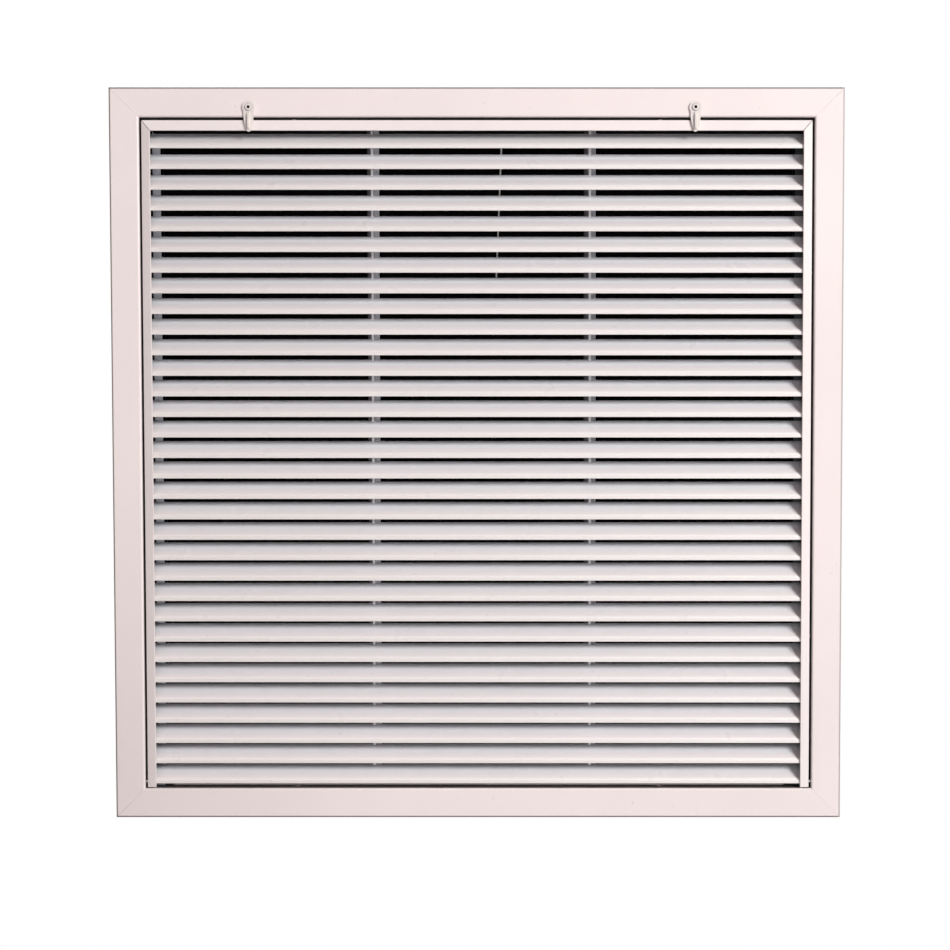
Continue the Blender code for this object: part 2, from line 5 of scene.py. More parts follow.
import bmesh
import bpy
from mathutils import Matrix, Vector


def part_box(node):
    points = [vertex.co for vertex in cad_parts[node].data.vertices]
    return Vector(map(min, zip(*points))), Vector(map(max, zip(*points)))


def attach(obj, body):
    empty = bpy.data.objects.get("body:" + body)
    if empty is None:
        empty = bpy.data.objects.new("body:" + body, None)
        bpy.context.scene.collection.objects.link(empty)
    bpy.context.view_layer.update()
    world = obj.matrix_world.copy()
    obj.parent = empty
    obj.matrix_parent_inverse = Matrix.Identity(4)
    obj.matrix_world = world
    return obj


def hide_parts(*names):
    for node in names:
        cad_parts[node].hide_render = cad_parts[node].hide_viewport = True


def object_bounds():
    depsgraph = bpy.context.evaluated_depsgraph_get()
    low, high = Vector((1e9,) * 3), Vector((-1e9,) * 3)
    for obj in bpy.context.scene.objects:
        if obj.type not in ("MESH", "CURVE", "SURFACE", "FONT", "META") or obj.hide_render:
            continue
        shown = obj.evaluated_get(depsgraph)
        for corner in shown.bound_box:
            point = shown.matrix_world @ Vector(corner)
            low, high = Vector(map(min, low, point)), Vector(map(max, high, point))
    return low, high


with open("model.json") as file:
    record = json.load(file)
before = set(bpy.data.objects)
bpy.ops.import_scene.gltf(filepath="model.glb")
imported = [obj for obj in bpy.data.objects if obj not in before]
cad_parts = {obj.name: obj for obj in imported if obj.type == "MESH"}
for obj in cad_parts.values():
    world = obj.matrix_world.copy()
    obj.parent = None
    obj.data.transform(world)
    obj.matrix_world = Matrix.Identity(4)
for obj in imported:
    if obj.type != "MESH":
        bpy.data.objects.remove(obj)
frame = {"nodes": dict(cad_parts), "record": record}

cadLow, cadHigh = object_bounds()
bpy.ops.object.select_all(action="DESELECT")

# Places that other values are worked out from, all read from the frame
bottomLow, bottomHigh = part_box("frame_bottom")
bladeLow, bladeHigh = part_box("blade_01")
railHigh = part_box("core_rail_top")[1]
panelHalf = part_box("frame_right")[1].x
centreZ = (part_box("frame_top")[1].z + bottomLow.z) / 2
facePlane = bottomLow.y
coreHalf = railHigh.x
coreTop = railHigh.z
bodies = frame["record"]["behaviour"]["bodies"]
bladeNames = sorted(name for name in bodies["core"] if name.startswith("blade_"))


# A socket that takes part in sums, so that shader maths reads as an expression
class Level:
    def __init__(self, paint, socket):
        self.paint = paint
        self.socket = socket

    def sum(self, operation, other, flipped=False):
        pair = [other, self] if flipped else [self, other]
        return self.paint.node("ShaderNodeMath", {"operation": operation}, dict(enumerate(pair)))

    def __add__(self, other):
        return self.sum("ADD", other)

    def __radd__(self, other):
        return self.sum("ADD", other, True)

    def __sub__(self, other):
        return self.sum("SUBTRACT", other)

    def __rsub__(self, other):
        return self.sum("SUBTRACT", other, True)

    def __mul__(self, other):
        return self.sum("MULTIPLY", other)

    def __rmul__(self, other):
        return self.sum("MULTIPLY", other, True)

    def __pow__(self, other):
        return self.sum("POWER", other)

    def __abs__(self):
        return self.paint.node("ShaderNodeMath", {"operation": "ABSOLUTE"}, {0: self})

    def larger(self, other):
        return self.sum("MAXIMUM", other)

    def smaller(self, other):
        return self.sum("MINIMUM", other)


# One material: its node tree, and the few ways that nodes are added to it
class Paint:
    def __init__(self, name, roughness, metallic=0.0, gloss=0.5):
        self.material = bpy.data.materials.new(name)
        self.material.use_nodes = True
        self.tree = self.material.node_tree
        self.shader = self.tree.nodes["Principled BSDF"]
        self.shader.inputs["Roughness"].default_value = roughness
        self.shader.inputs["Metallic"].default_value = metallic
        self.shader.inputs["Specular IOR Level"].default_value = gloss
        self.place = self.node("ShaderNodeTexCoord", output="Object")
        self.x, self.y, self.z = (self.node("ShaderNodeSeparateXYZ", None, {0: self.place}, axis) for axis in "XYZ")

    def node(self, kind, settings=None, inputs=None, output=0):
        made = self.tree.nodes.new(kind)
        for key, value in (settings or {}).items():
            setattr(made, key, value)
        for key, value in (inputs or {}).items():
            if isinstance(value, Level):
                self.tree.links.new(value.socket, made.inputs[key])
            else:
                made.inputs[key].default_value = value
        return Level(self, made.outputs[output])

    def noise(self, scale, detail=2.0, roughness=0.5, stretch=(1, 1, 1)):
        place = self.node("ShaderNodeMapping", None, {"Vector": self.place, "Scale": stretch})
        inputs = {"Vector": place, "Scale": scale, "Detail": detail, "Roughness": roughness}
        return self.node("ShaderNodeTexNoise", None, inputs)

    def ramp(self, level, low, high):
        return self.node("ShaderNodeMapRange", {"clamp": True}, {"Value": level, "From Min": low, "From Max": high})

    def facing(self, axis):
        normal = self.node("ShaderNodeTexCoord", output="Normal")
        return self.node("ShaderNodeSeparateXYZ", None, {0: normal}, axis)

    def blend(self, share, first, second):
        first, second = (c if isinstance(c, Level) else (*c, 1) for c in (first, second))
        return self.node("ShaderNodeMix", {"data_type": "RGBA"}, {0: share, 6: first, 7: second}, 2)

    def lay(self, share, colour):
        self.tone = self.blend(share, self.tone, colour)

    def feed(self, name, level):
        self.tree.links.new(level.socket, self.shader.inputs[name])

    def bump(self, height, strength, distance):
        inputs = {"Height": height, "Strength": strength, "Distance": distance}
        self.feed("Normal", self.node("ShaderNodeBump", None, inputs))


def darker(colour, share):
    return tuple(c * share for c in colour)


# White powder coat, shared by frame, core and clips: a soft cloud of tone, a fine orange peel and a few specks
powderCoat = {
    "roughness": 0.42,
    "roughnessSpread": 0.16,
    "roughnessSize": 35.0,
    "gloss": 0.35,
    "peelSize": 900.0,
    "peelHeight": 0.00002,
    "peelStrength": 0.35,
    "cloudSize": 6.0,
    "cloudSpan": (0.35, 0.7),
    "cloudDrop": 0.05,
    "speckSize": 240.0,
    "speckSpan": (0.73, 0.80),
    "speckShare": 0.25,
    "speckTone": 0.45,
    # painted shade: the dark tone laid where shade falls, in gaps, channels, crevices, beside a stem and towards the
    # frame's lower left
    "paintedShade": (0.10, 0.095, 0.09),
    # dark joints on the rail mitres, also the painted shade ring round each rivet head
    "jointAndShade": (0.20, 0.15, 0.13),
    # painted black standing in for deep shade in the rail channels, under the top rail and in the rivet bores
    "hole": (0.012, 0.010, 0.009),
}


def coatBase(name, colour, gloss=powderCoat["gloss"]):
    made = Paint(name, powderCoat["roughness"], gloss=gloss)
    cloud = made.ramp(made.noise(powderCoat["cloudSize"], 3.0), *powderCoat["cloudSpan"])
    made.tone = made.blend(cloud, colour, darker(colour, 1 - powderCoat["cloudDrop"]))
    speck = made.ramp(made.noise(powderCoat["speckSize"], 1.0), *powderCoat["speckSpan"])
    made.lay(speck * powderCoat["speckShare"], darker(colour, powderCoat["speckTone"]))
    made.peel = made.noise(powderCoat["peelSize"], 2.0)
    return made


def coatDone(made, roughness=powderCoat["roughness"]):
    spread = powderCoat["roughnessSpread"]
    made.feed("Base Color", made.tone)
    made.feed("Roughness", made.noise(powderCoat["roughnessSize"], 2.0) * spread + (roughness - spread / 2))
    made.bump(made.peel, powderCoat["peelStrength"], powderCoat["peelHeight"])
    return made.material


# How far a point lies behind the flange's face, as a share of the way from start to end
def byDepth(made, start, end):
    return made.ramp(made.y, facePlane + start, facePlane + end)


# The frame: a dark line along its outer edge, painted shade on the walls of the gap round the core, and painted shade
# towards the lower left
frameLook = {
    "colour": (0.88, 0.775, 0.765),
    "outerLine": (0.13, 0.10, 0.09),
    "lineWidth": 0.0017,
    "lineRightSpan": (0.003, 0.001),
    "lineRightDrop": 0.4,
    "flange": 0.0264,
    "insideSpan": (0.0007, 0.0003),
    "inwardSpan": (0.02, -0.02),
    "gapShadeDepths": (0.0014, 0.0030),
    "shadeFadeDepths": (0.0100, 0.0160),
    "shadeFadeShare": 0.8,
    "lowLeftShadeStart": -0.08,
    "lowLeftShadeShare": 0.15,
}


def frameCoat():
    look = frameLook
    made = coatBase("frameCoat", look["colour"])
    outer = abs(made.x).larger(abs(made.z - centreZ))
    line = made.ramp(outer, panelHalf - look["lineWidth"], panelHalf - look["lineWidth"] / 2)
    rightSide = made.ramp(made.x, *(panelHalf - reach for reach in look["lineRightSpan"]))
    made.lay(line * (1 - rightSide * look["lineRightDrop"]), look["outerLine"])
    opening = panelHalf - look["flange"]
    outward = made.facing("X") * made.x + made.facing("Z") * (made.z - centreZ)
    inside = made.ramp(outer, *(opening + reach for reach in look["insideSpan"]))
    inside = inside * made.ramp(outward, *look["inwardSpan"])
    # painted shade on the gap's walls just behind the face, fading out deeper in
    shadeFade = byDepth(made, *look["shadeFadeDepths"]) * look["shadeFadeShare"]
    made.lay(inside * byDepth(made, *look["gapShadeDepths"]) * (1 - shadeFade), powderCoat["paintedShade"])
    # painted shade: the coat darker towards the lower left, where the lamp's light falls off
    lowLeftShade = made.ramp(made.x, look["lowLeftShadeStart"], -panelHalf) * made.ramp(made.z, centreZ, bottomHigh.z)
    made.lay(lowLeftShade * look["lowLeftShadeShare"], powderCoat["paintedShade"])
    return coatDone(made)


# The core's rails: the left rail painted greyer as shade, a dark seam on each mitre, and painted light and shade in
# the channels where the gaps show them
railLook = {
    "colour": (0.88, 0.785, 0.775),
    # painted shade: the left rail's greyer tone
    "left": (0.60, 0.53, 0.52),
    "leftShadeShare": 0.6,
    "sideFace": 0.0078,
    "topFace": 0.0093,
    "mitreSpan": 0.0002,
    "seamSpan": (0.0006, 0.0002),
    "seamEnd": 0.0004,
    # painted light and shade in the channels: a lit strip on the left, near black on the shaded right
    "channelLitLeft": (0.78, 0.83, 0.90),
    "channelShadeRight": (0.025, 0.032, 0.035),
    "channelDepths": (0.0010, 0.0022),
    "stripStart": (0.0056, 0.0062),
    "stripEnd": (0.0136, 0.0130),
    "sideWidth": (0.0240, 0.0200),
    "topHeight": (0.0500, 0.0400),
    "wallSpan": (0.0007, 0.0003),
    "shadeFadeDepths": (0.0080, 0.0120),
    "shadeFadeShare": 0.8,
}


def railCoat():
    look = railLook
    made = coatBase("railCoat", look["colour"])
    inward = coreHalf - abs(made.x)
    downward = coreTop - made.z
    mitre = inward * (look["topFace"] / look["sideFace"]) - downward
    # painted shade: the left rail greyer, as if it stood in less light
    leftRailShade = made.ramp(mitre, look["mitreSpan"], -look["mitreSpan"]) * made.ramp(made.x, 0.01, -0.01)
    made.lay(leftRailShade * look["leftShadeShare"], look["left"])
    coat = made.tone
    behind = made.ramp(made.facing("Y"), 0.4, 0.7)  # what faces the wall keeps its clean coat
    # painted shade behind the face: a painted lit strip on the left rail's rear flange, dark teal on the right,
    # painted black beside the strip and under the top rail
    sunkShade = byDepth(made, *look["channelDepths"]) * (1 - behind)
    channel = made.blend(made.ramp(made.x, -0.1, 0.1), look["channelLitLeft"], look["channelShadeRight"])
    strip = made.ramp(inward, *look["stripStart"]) * made.ramp(inward, *look["stripEnd"])
    channel = made.blend(strip, powderCoat["hole"], channel)
    under = made.blend(made.ramp(downward, *look["topHeight"]), coat, powderCoat["hole"])
    channel = made.blend(made.ramp(inward, *look["sideWidth"]), under, channel)
    made.lay(sunkShade, channel)
    corner = made.ramp(downward, look["topFace"] + look["seamEnd"], look["topFace"])
    made.lay(made.ramp(abs(mitre), *look["seamSpan"]) * corner * (1 - sunkShade), powderCoat["jointAndShade"])
    # painted shade on the channel walls just behind the face, fading back to the coat deeper in
    wall = made.ramp(inward.smaller(downward), *look["wallSpan"])
    shadeFade = byDepth(made, *look["shadeFadeDepths"]) * look["shadeFadeShare"]
    made.lay(wall * sunkShade, made.blend(shadeFade, powderCoat["paintedShade"], coat))
    return coatDone(made)


# The blades, in painted light and shade: a painted highlight on the crest, a lip painted darker, both lighter to the
# right, a rear slope painted greyer and bluer, a lit rear edge, and shade painted at the lower blades' rear edges and
# the right ends
bladeLook = {
    "front": (0.91, 0.82, 0.815),
    "crest": (0.95, 0.87, 0.865),
    "crestRight": (1.0, 0.95, 0.94),
    "crestDepths": (0.0028, 0.0014),
    "lip": (0.75, 0.695, 0.68),
    "lipLitRight": (0.87, 0.81, 0.80),
    "lipDepths": (0.0006, 0.0002),
    # painted shade on the slope towards the rear, darkest on the top blade under the rail
    "rearShadeTop": (0.50, 0.505, 0.54),
    "rear": (0.64, 0.655, 0.70),
    "rearSpan": (0.0015, 0.002),
    "rearEdgeLit": (0.88, 0.89, 0.93),
    "edgeSpan": (0.0065, 0.0010),
    "edgeFootDrop": 0.8,
    "streakSize": 70.0,
    "streakShare": 0.25,
    "streakTone": 0.7,
    "rearShadeReach": 0.0018,
    "rearShadeShare": 0.5,
    "rearShadeTone": 0.3,
    "endShadeSpan": (0.0085, 0.0015),
    "endShadeShare": 0.85,
    "endShadeTone": 0.4,
    "roughness": 0.30,
    "gloss": 0.55,
}


def bladeCoat():
    look = bladeLook
    made = coatBase("bladeCoat", look["front"], look["gloss"])
    foot = made.ramp(made.z, coreTop, bottomHigh.z)
    depth = made.ramp(made.y, bladeLow.y + look["rearSpan"][0], bladeHigh.y - look["rearSpan"][1])
    # painted shade: the slope greyer and bluer towards its rear, darker on the top blades
    rear = made.blend(made.ramp(made.z, coreTop, centreZ), look["rearShadeTop"], look["rear"])
    streak = made.ramp(made.noise(look["streakSize"], 3.0), 0.3, 0.7)
    rear = made.blend(streak * look["streakShare"], rear, darker(look["rear"], look["streakTone"]))
    made.lay(depth, rear)
    # painted light: a paler rear edge, less of it on the lower blades
    litRearEdge = made.ramp(made.y, *(bladeHigh.y - reach for reach in look["edgeSpan"]))
    made.lay(litRearEdge * (1 - foot * look["edgeFootDrop"]), look["rearEdgeLit"])
    # painted shade along the rear edges, deeper on the lower blades, where the blade above shades them
    rearShade = made.ramp((made.y - bladeHigh.y) * (1 - foot * 0.5), -look["rearShadeReach"], 0)
    made.lay(rearShade * (foot * look["rearShadeShare"]), darker(powderCoat["paintedShade"], look["rearShadeTone"]))
    # painted shadow of the right rail on the blades' right ends
    end = made.ramp(made.x, *(bladeHigh.x - reach for reach in look["endShadeSpan"])) * depth
    made.lay(end * look["endShadeShare"], darker(powderCoat["paintedShade"], look["endShadeTone"]))
    # painted light: crest and lip lighter towards the right, nearer the lamp
    right = made.ramp(made.x, -0.25, 0.25)
    crest = made.ramp(made.y, *(bladeLow.y + reach for reach in look["crestDepths"]))
    made.lay(crest, made.blend(right, look["crest"], look["crestRight"]))
    # painted shade: the front-facing lip darker than the crest above it
    lip = made.ramp(made.y, *(bladeLow.y + reach for reach in look["lipDepths"]))
    made.lay(lip, made.blend(right, look["lip"], look["lipLitRight"]))
    return coatDone(made, look["roughness"])


# The bars behind the blades: the left bar painted lighter than the right one as painted light and shade, a painted
# highlight on the stem in the middle, and the stem's shadow painted along its left side
supportLook = {
    # painted light: the left bar lighter, the right bar painted as if in shade
    "left": (0.92, 0.92, 0.97),
    "right": (0.62, 0.63, 0.67),
    "streakSize": 60.0,
    "streakShare": 0.2,
    "streakTone": 0.6,
    "stem": (0.97, 0.97, 1.0),
    "stemSpan": (0.0014, 0.0010),
    "stemShadowStart": -0.0009,
    "stemShadowFar": (-0.0054, 0.25),
    "stemShadowNear": (-0.0013, 0.72),
    "stemShadowTone": 0.3,
}


def supportCoat(middles):
    look = supportLook
    made = coatBase("supportCoat", look["left"])
    # painted shade: the right bar darker than the left
    rightBar = made.ramp(made.x, -0.01, 0.01)
    made.lay(rightBar, look["right"])
    streak = made.ramp(made.noise(look["streakSize"], 3.0, 0.5, (1, 1, 0.15)), 0.35, 0.7)
    made.lay(streak * look["streakShare"], darker(look["right"], look["streakTone"]))
    across = made.x - (rightBar * (middles[1] - middles[0]) + middles[0])
    # painted highlight on the stem's front edge
    made.lay(made.ramp(abs(across), *look["stemSpan"]), look["stem"])
    # painted shadow of the stem on the flange to its left
    far, near = (made.ramp(across, look["stemShadowStart"], end) * share
                 for end, share in (look["stemShadowFar"], look["stemShadowNear"]))
    made.lay(far + near, darker(powderCoat["paintedShade"], look["stemShadowTone"]))
    return coatDone(made)


# The clips and rivets: painted shade as a black bore and a faint dark ring round the rivet's head
clipLook = {
    "colour": (0.77, 0.70, 0.67),
    "ringRadius": 0.0033,
    "ringShadeSpan": (0.0004, 0.0001),
    "ringShadeShare": 0.45,
    "boreShadeSpan": (0.00160, 0.00120),
}


def clipCoat(pivots):
    look = clipLook
    made = coatBase("clipCoat", look["colour"])
    left, right = (((made.x - pivot.x) ** 2.0 + (made.z - pivot.z) ** 2.0) ** 0.5 for pivot in pivots)
    reach = left.smaller(right)
    # painted shade: a dark ring round the rivet head and a black bore
    made.lay(made.ramp(abs(reach - look["ringRadius"]), *look["ringShadeSpan"]) * look["ringShadeShare"], powderCoat["jointAndShade"])
    made.lay(made.ramp(reach, *look["boreShadeSpan"]), powderCoat["hole"])
    return coatDone(made)


# Bare metals: colour, roughness and metallic of each, a brushed streak and a stain for all, and where asked a front
# painted black as shade
bareMetal = {
    "pin": ((0.50, 0.50, 0.50), 0.35, 0.9),
    "channel": ((0.20, 0.20, 0.205), 0.5, 0.9),
    "key": ((0.55, 0.56, 0.57), 0.4, 0.9),
    "spring": ((0.42, 0.42, 0.43), 0.35, 0.9),
    "wire": ((0.95, 0.94, 0.92), 0.4, 0.1),
    "backing": ((0.60, 0.60, 0.61), 0.35, 0.9),
}
metalWear = {
    "brushSize": 500.0,
    "brushTone": 0.7,
    "brushRoughness": (0.3, 0.1),
    "brushStrength": 0.25,
    "brushHeight": 0.00003,
    "stainSize": 25.0,
    "stainSpan": (0.45, 0.75),
    "stainShare": 0.4,
    "stainTone": 0.5,
    "frontShadeBlack": (0.002, 0.002, 0.002),
    "frontShadeShare": 0.97,
    "frontShadeGloss": 0.05,
}


def metalPaint(kind, blackFront=False):
    colour, roughness, metallic = bareMetal[kind]
    made = Paint(kind + "Metal", roughness, metallic, metalWear["frontShadeGloss"] if blackFront else 0.5)
    streak = made.noise(metalWear["brushSize"], 3.0)
    stain = made.ramp(made.noise(metalWear["stainSize"], 4.0), *metalWear["stainSpan"])
    made.tone = made.blend(streak, colour, darker(colour, metalWear["brushTone"]))
    made.lay(stain * metalWear["stainShare"], darker(colour, metalWear["stainTone"]))
    if blackFront:
        # painted shade: faces towards the room near black, where the gaps show the filter channel
        front = made.ramp(made.facing("Y"), -0.4, -0.7) * metalWear["frontShadeShare"]  # what faces the room is black
        made.lay(front, metalWear["frontShadeBlack"])
        made.feed("Metallic", (1 - front) * metallic)
    made.feed("Base Color", made.tone)
    spread, drop = metalWear["brushRoughness"]
    made.feed("Roughness", streak * spread + (roughness - drop))
    made.bump(streak, metalWear["brushStrength"], metalWear["brushHeight"])
    return made.material


# The filter's cloth: black towards the room, painted darker than black cloth so that it also stands for the shade
# behind the blades, with dust; grey on its clean side
filterCloth = {
    "front": (0.0015, 0.0015, 0.0018),
    "frontThread": (0.006, 0.006, 0.0065),
    "lint": (0.015, 0.014, 0.013),
    "lintSize": 90.0,
    "lintShare": 0.4,
    "rear": (0.22, 0.22, 0.225),
    "rearThread": (0.34, 0.34, 0.34),
    "cloudSize": 14.0,
    "cloudShare": 0.4,
    "cloudTone": 0.5,
    "pitch": 0.0012,
    "roughness": 0.9,
    "gloss": 0.05,
    "weaveStrength": 0.5,
    "weaveHeight": 0.0003,
}


def clothPaint():
    look = filterCloth
    made = Paint("filterCloth", look["roughness"], gloss=look["gloss"])
    turns = math.tau / look["pitch"]
    across, up = (made.node("ShaderNodeMath", {"operation": "SINE"}, {0: axis * turns}) for axis in (made.x, made.z))
    weave = across * up * 0.5 + 0.5
    lint = made.ramp(made.noise(look["lintSize"], 4.0), 0.55, 0.8)
    thread = made.blend(lint * look["lintShare"], look["frontThread"], look["lint"])
    front = made.blend(weave, look["front"], thread)
    cloud = made.ramp(made.noise(look["cloudSize"], 4.0), 0.35, 0.75)
    rear = made.blend(weave, look["rear"], look["rearThread"])
    rear = made.blend(cloud * look["cloudShare"], rear, darker(look["rear"], look["cloudTone"]))
    made.feed("Base Color", made.blend(made.ramp(made.facing("Y"), -0.05, 0.05), front, rear))
    made.bump(weave, look["weaveStrength"], look["weaveHeight"])
    return made.material


# Ways of making that the pieces share
def takeUp(piece):
    bpy.ops.object.select_all(action="DESELECT")
    piece.select_set(True)
    bpy.context.view_layer.objects.active = piece


def start(kind, name, place, scale, turn=(0, 0, 0), **settings):
    bpy.ops.object.select_all(action="DESELECT")
    getattr(bpy.ops.mesh, "primitive_" + kind + "_add")(location=place, rotation=turn, **settings)
    piece = bpy.context.object
    piece.name = name
    piece.data.name = name
    piece.scale = scale
    bpy.ops.object.transform_apply(location=True, rotation=True, scale=True)
    return piece


# A copy of a solid's mesh, merged and with its flat faces whole again
def startFromNode(node, name):
    piece = bpy.data.objects.new(name, frame["nodes"][node].data.copy())
    bpy.context.scene.collection.objects.link(piece)
    takeUp(piece)
    bpy.ops.object.mode_set(mode="EDIT")
    bpy.ops.mesh.select_all(action="SELECT")
    bpy.ops.mesh.remove_doubles(threshold=0.00001)
    bpy.ops.mesh.dissolve_limited(angle_limit=math.radians(1))
    bpy.ops.object.mode_set(mode="OBJECT")
    return piece


def pick(piece, test):
    bpy.ops.mesh.select_mode(type="VERT")
    bpy.ops.mesh.select_all(action="DESELECT")
    net = bmesh.from_edit_mesh(piece.data)
    for corner in net.verts:
        corner.select_set(bool(test(corner.co)))
    net.select_flush(True)
    bmesh.update_edit_mesh(piece.data)


def applyModifier(piece, kind, **settings):
    takeUp(piece)
    modifier = piece.modifiers.new(kind.lower(), kind)
    for key, value in settings.items():
        setattr(modifier, key, value)
    bpy.ops.object.modifier_apply(modifier=modifier.name)


def roundEdges(piece, width, segments=2, angle=40):
    applyModifier(piece, "BEVEL", width=width, segments=segments, limit_method="ANGLE",
                  angle_limit=math.radians(angle))
    smooth(piece)


def smooth(piece, angle=35):
    takeUp(piece)
    bpy.ops.object.shade_smooth_by_angle(angle=math.radians(angle))
    applyModifier(piece, "WEIGHTED_NORMAL", weight=100, keep_sharp=True)  # keeps the broad faces flat


def copyTo(piece, name, shift):
    twin = bpy.data.objects.new(name, piece.data.copy())
    bpy.context.scene.collection.objects.link(twin)
    takeUp(twin)
    twin.location = shift
    bpy.ops.object.transform_apply(location=True, rotation=True, scale=True)
    return twin


def settle(piece, body, slot, paint, *nodes):
    piece.data.materials.clear()
    piece.data.materials.append(paint)
    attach(piece, body)
    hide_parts(*nodes)


# The frame's members keep the solids' section; the mitres close to a hairline and every edge is eased
frameShape = {"mitreClose": 0.00016, "mitreReach": 0.0004, "edgeRound": 0.00014}


def makeFrame(paint):
    for side in ("top", "bottom", "left", "right"):
        piece = startFromNode("frame_" + side, "frameMember_" + side)
        level = side in ("top", "bottom")
        bpy.ops.object.mode_set(mode="EDIT")
        for way in (-1, 1):
            pick(piece, lambda co: abs(abs(co.x) - abs(co.z - centreZ)) < frameShape["mitreReach"]
                 and way * (co.x if level else co.z - centreZ) > 0)
            push = way * frameShape["mitreClose"]
            bpy.ops.transform.translate(value=(push, 0, 0) if level else (0, 0, push))
        bpy.ops.object.mode_set(mode="OBJECT")
        roundEdges(piece, frameShape["edgeRound"])
        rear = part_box("frame_" + side)[1].y
        for corner in piece.data.vertices:
            corner.co.y = min(corner.co.y, rear)  # keeps the neck's rounded end inside the solid's
        settle(piece, "frame", "frame_paint", paint, "frame_" + side)


# The core's rails and the bars behind the blades, with eased edges
railShape = {"edgeRound": 0.00012, "barRound": 0.0002}


def makeRails(paint, barPaint):
    for side in ("top", "bottom", "left", "right"):
        piece = startFromNode("core_rail_" + side, "coreRail_" + side)
        roundEdges(piece, railShape["edgeRound"])
        settle(piece, "core", "rail_paint", paint, "core_rail_" + side)
    for side in ("left", "right"):
        piece = startFromNode("support_bar_" + side, "supportBar_" + side)
        roundEdges(piece, railShape["barRound"])
        settle(piece, "core", "support_paint", barPaint, "support_bar_" + side)


# One blade: a strip raised point by point through its crest to the rear, then given its thickness
bladeShape = {
    "lip": 0.0027, "crestRadius": 0.0017, "crestSteps": 7, "bow": 0.0005, "slopeSteps": 6,
    "overrun": 0.0015, "sheet": 0.0012, "edgeRound": 0.0002, "edgeAngle": 50,
}


def bladePath():
    run = bladeHigh.y - bladeLow.y
    rise = bladeHigh.z - bladeLow.z
    lip = bladeShape["lip"]
    radius = bladeShape["crestRadius"]
    slope = math.atan((rise - lip) / run)
    reach = radius * math.tan((math.pi / 2 - slope) / 2)
    path = [(0, 0)]
    for step in range(bladeShape["crestSteps"] + 1):
        angle = math.pi - (math.pi / 2 - slope) * step / bladeShape["crestSteps"]
        path.append((radius + radius * math.cos(angle), lip - reach + radius * math.sin(angle)))
    first = path[-1]
    for step in range(1, bladeShape["slopeSteps"] + 1):
        share = step / bladeShape["slopeSteps"]
        dip = 4 * bladeShape["bow"] * share * (1 - share)
        path.append((first[0] + (run - first[0]) * share, first[1] + (rise - first[1]) * share - dip))
    overrun = bladeShape["overrun"]  # cut off again once the sheet has its thickness
    path.append((run + overrun, rise + overrun * math.tan(slope)))
    return path


def makeBlades(paint):
    path = bladePath()
    height = path[1][1]
    middle = (bladeLow.x + bladeHigh.x) / 2
    blade = start("plane", "louvre_01", (middle, bladeLow.y, bladeLow.z + height / 2),
                  (bladeHigh.x - bladeLow.x, height, 1), (math.pi / 2, 0, 0), size=1)
    bpy.ops.object.mode_set(mode="EDIT")
    pick(blade, lambda co: co.z > bladeLow.z + height / 2)
    for near, far in zip(path[1:], path[2:]):
        step = (0, far[0] - near[0], far[1] - near[1])
        bpy.ops.mesh.extrude_edges_move(TRANSFORM_OT_translate={"value": step})
    bpy.ops.object.mode_set(mode="OBJECT")
    applyModifier(blade, "SOLIDIFY", thickness=bladeShape["sheet"], offset=-1, use_even_offset=True)
    bpy.ops.object.mode_set(mode="EDIT")
    bpy.ops.mesh.select_all(action="SELECT")
    bpy.ops.mesh.bisect(plane_co=(0, bladeHigh.y, 0), plane_no=(0, 1, 0), use_fill=True, clear_outer=True)
    bpy.ops.object.mode_set(mode="OBJECT")
    roundEdges(blade, bladeShape["edgeRound"], angle=bladeShape["edgeAngle"])
    for name in bladeNames[1:]:
        twin = copyTo(blade, "louvre_" + name[-2:], (0, 0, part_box(name)[0].z - bladeLow.z))
        settle(twin, "core", "blade_paint", paint, name)
    settle(blade, "core", "blade_paint", paint, bladeNames[0])


# The swivel clips: the solid's outline, with the ridge pressed wider and every edge rolled over
clipShape = {
    "plate": 0.0012, "ridgeHalf": 0.0009, "ridgeTop": 0.003, "ridgeFoot": 0.0004, "ridgeWiden": 1.55,
    "edgeRound": 0.00042, "edgeSegments": 4,
}
rivetShape = {
    "ringRadius": 0.0022, "rollRadius": 0.0009, "rollFlat": 0.5, "rollSides": 12, "ringSteps": 36,
    "proud": 0.0004, "edgeRound": 0.00015,
}


def clipPivot(side):
    low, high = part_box("clip_rivet_" + side)
    return (low + high) / 2


def makeClips(paint):
    for side in ("left", "right"):
        pivot = clipPivot(side)
        low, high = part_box("swivel_clip_" + side)
        plateFront = high.y - clipShape["plate"] + 0.0001
        piece = startFromNode("swivel_clip_" + side, "clip_" + side)
        bpy.ops.object.mode_set(mode="EDIT")
        pick(piece, lambda co: abs(co.x - pivot.x) < clipShape["ridgeHalf"] and co.y < plateFront
             and low.z + clipShape["ridgeFoot"] < co.z < pivot.z - clipShape["ridgeTop"])
        bpy.ops.transform.resize(value=(clipShape["ridgeWiden"], 1, 1), center_override=pivot)
        bpy.ops.object.mode_set(mode="OBJECT")
        roundEdges(piece, clipShape["edgeRound"], clipShape["edgeSegments"])
        settle(piece, "clip_" + side, "clip_paint", paint, "swivel_clip_" + side)
        makeRivet(side, pivot, paint)


